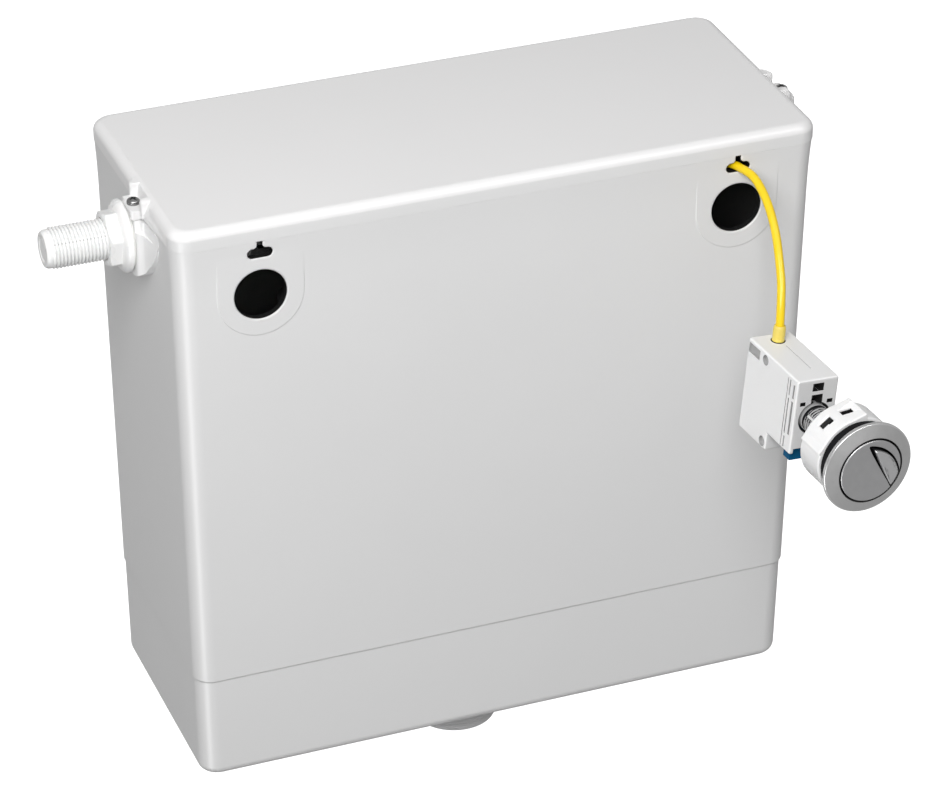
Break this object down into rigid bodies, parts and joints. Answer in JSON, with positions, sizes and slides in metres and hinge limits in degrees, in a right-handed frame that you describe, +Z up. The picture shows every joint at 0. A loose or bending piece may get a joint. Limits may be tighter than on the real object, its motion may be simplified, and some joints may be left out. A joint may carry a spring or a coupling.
{
  "type": "concealed toilet cistern",
  "caption": "White plastic concealed toilet cistern with a screwed-on lid, a threaded side inlet, a bottom outlet and a dual-flush button unit hanging on a yellow cable.",
  "frame": {"origin": "midway between the two wall fixing holes, on the tank's back face", "axes": "+Z up, +X to the right seen from the front, +Y towards the wall"},
  "size_m": [0.3963, 0.3028, 0.3565],
  "materials": {
    "tank_plastic": "satin moulded polypropylene",
    "lid_plastic": "satin moulded polypropylene",
    "white_plastic": "moulded plastic",
    "gloss_white": "smooth gloss",
    "unit_white": "fine satin",
    "pale_washer": "smooth",
    "pale_mesh": "moulded",
    "foam_float": "fine grain",
    "grey_outlet": "satin",
    "grey_thread": "satin",
    "dark_carrier": "matt",
    "blue_plastic": "satin",
    "yellow_sheath": "smooth vinyl",
    "pale_yellow": "translucent",
    "dark_rubber": "matt",
    "steel": "plated",
    "brass_nipple": "turned",
    "satin_chrome": "satin plated",
    "satin_button": "satin plated"
  },
  "bodies": {
    "cistern": {"tank": "tank_plastic", "fill_valve_body": "gloss_white", "inlet_backnut": "gloss_white", "inlet_outer_washer": "pale_washer", "inlet_seal": "dark_rubber", "inlet_filter": "pale_mesh", "fill_valve_cap": "white_plastic", "fill_diaphragm": "dark_rubber", "fill_drop_tube": "white_plastic", "float_arm_pin": "steel", "flush_valve_base": "grey_outlet", "outlet_seal": "dark_rubber", "outlet_backnut": "white_plastic", "flush_cage": "white_plastic", "cable_gland": "pale_yellow", "cable_inner_run": "yellow_sheath", "cable_sheath": "yellow_sheath", "cable_ferrule": "pale_yellow", "actuator_shell_left": "unit_white", "actuator_shell_right": "unit_white", "button_barrel": "grey_thread", "button_carrier": "dark_carrier", "button_clamp": "gloss_white", "button_gasket": "dark_rubber", "bezel": "satin_chrome", "lever_pin": "steel"},
    "lid": {"lid": "lid_plastic", "lid_screws": "steel"},
    "float": {"float_arm": "white_plastic", "float_rod": "white_plastic", "float_adjuster": "blue_plastic", "fill_float": "foam_float"},
    "plunger": {"fill_plunger": "blue_plastic"},
    "lift": {"lift_tube": "white_plastic", "flush_seal": "dark_rubber", "half_flush_float": "blue_plastic", "pull_wire": "steel", "wire_nipple": "brass_nipple"},
    "full_button": {"full_flush_button": "satin_button", "full_push_rod": "white_plastic"},
    "half_button": {"half_flush_button": "satin_button", "half_push_rod": "white_plastic"},
    "full_lever": {"full_lever": "blue_plastic"},
    "half_lever": {"half_lever": "white_plastic"},
    "full_puller": {"full_puller": "white_plastic"},
    "half_puller": {"half_puller": "white_plastic"}
  },
  "joints": [
    {"name": "lid_lift", "type": "slide", "parent": "cistern", "child": "lid", "axis": [0, 0, 1], "range_m": [0, 0.12]},
    {"name": "full_press", "type": "slide", "parent": "cistern", "child": "full_button", "axis": [-0.0785, 0.9969, 0], "range_m": [0, 0.0045], "stiffness_N_per_m": 1200, "springref_m": -0.002},
    {"name": "half_press", "type": "slide", "parent": "cistern", "child": "half_button", "axis": [-0.0785, 0.9969, 0], "range_m": [0, 0.0045], "stiffness_N_per_m": 1200, "springref_m": -0.002},
    {"name": "full_lever_turn", "type": "hinge", "parent": "cistern", "child": "full_lever", "pos_m": [0.12125, -0.23783, -0.07637], "axis": [-0.9931, -0.0782, 0.0872], "range_deg": [0, 20.5]},
    {"name": "half_lever_turn", "type": "hinge", "parent": "cistern", "child": "half_lever", "pos_m": [0.12125, -0.23783, -0.07637], "axis": [-0.9931, -0.0782, 0.0872], "range_deg": [0, 20.5]},
    {"name": "full_pull", "type": "slide", "parent": "cistern", "child": "full_puller", "axis": [-0.0869, -0.0068, -0.9962], "range_m": [0, 0.0123]},
    {"name": "half_pull", "type": "slide", "parent": "cistern", "child": "half_puller", "axis": [-0.0869, -0.0068, -0.9962], "range_m": [0, 0.0123]},
    {"name": "flush_lift", "type": "slide", "parent": "cistern", "child": "lift", "axis": [0, 0, 1], "range_m": [0, 0.0123]},
    {"name": "float_swing", "type": "hinge", "parent": "cistern", "child": "float", "pos_m": [-0.118, -0.0805, -0.013], "axis": [0, -1, 0], "range_deg": [0, 15]},
    {"name": "plunger_slide", "type": "slide", "parent": "cistern", "child": "plunger", "axis": [0, 0, 1], "range_m": [0, 0.00135]}
  ],
  "couplings": [
    {"joint": "full_lever_turn", "follows": "full_press", "rad_per_m": 77.5},
    {"joint": "full_pull", "follows": "full_press", "ratio": 2.7},
    {"joint": "flush_lift", "follows": "full_press", "ratio": 2.7},
    {"joint": "half_lever_turn", "follows": "half_press", "rad_per_m": 77.5},
    {"joint": "half_pull", "follows": "half_press", "ratio": 2.7},
    {"joint": "plunger_slide", "follows": "float_swing", "m_per_rad": 0.005}
  ]
}
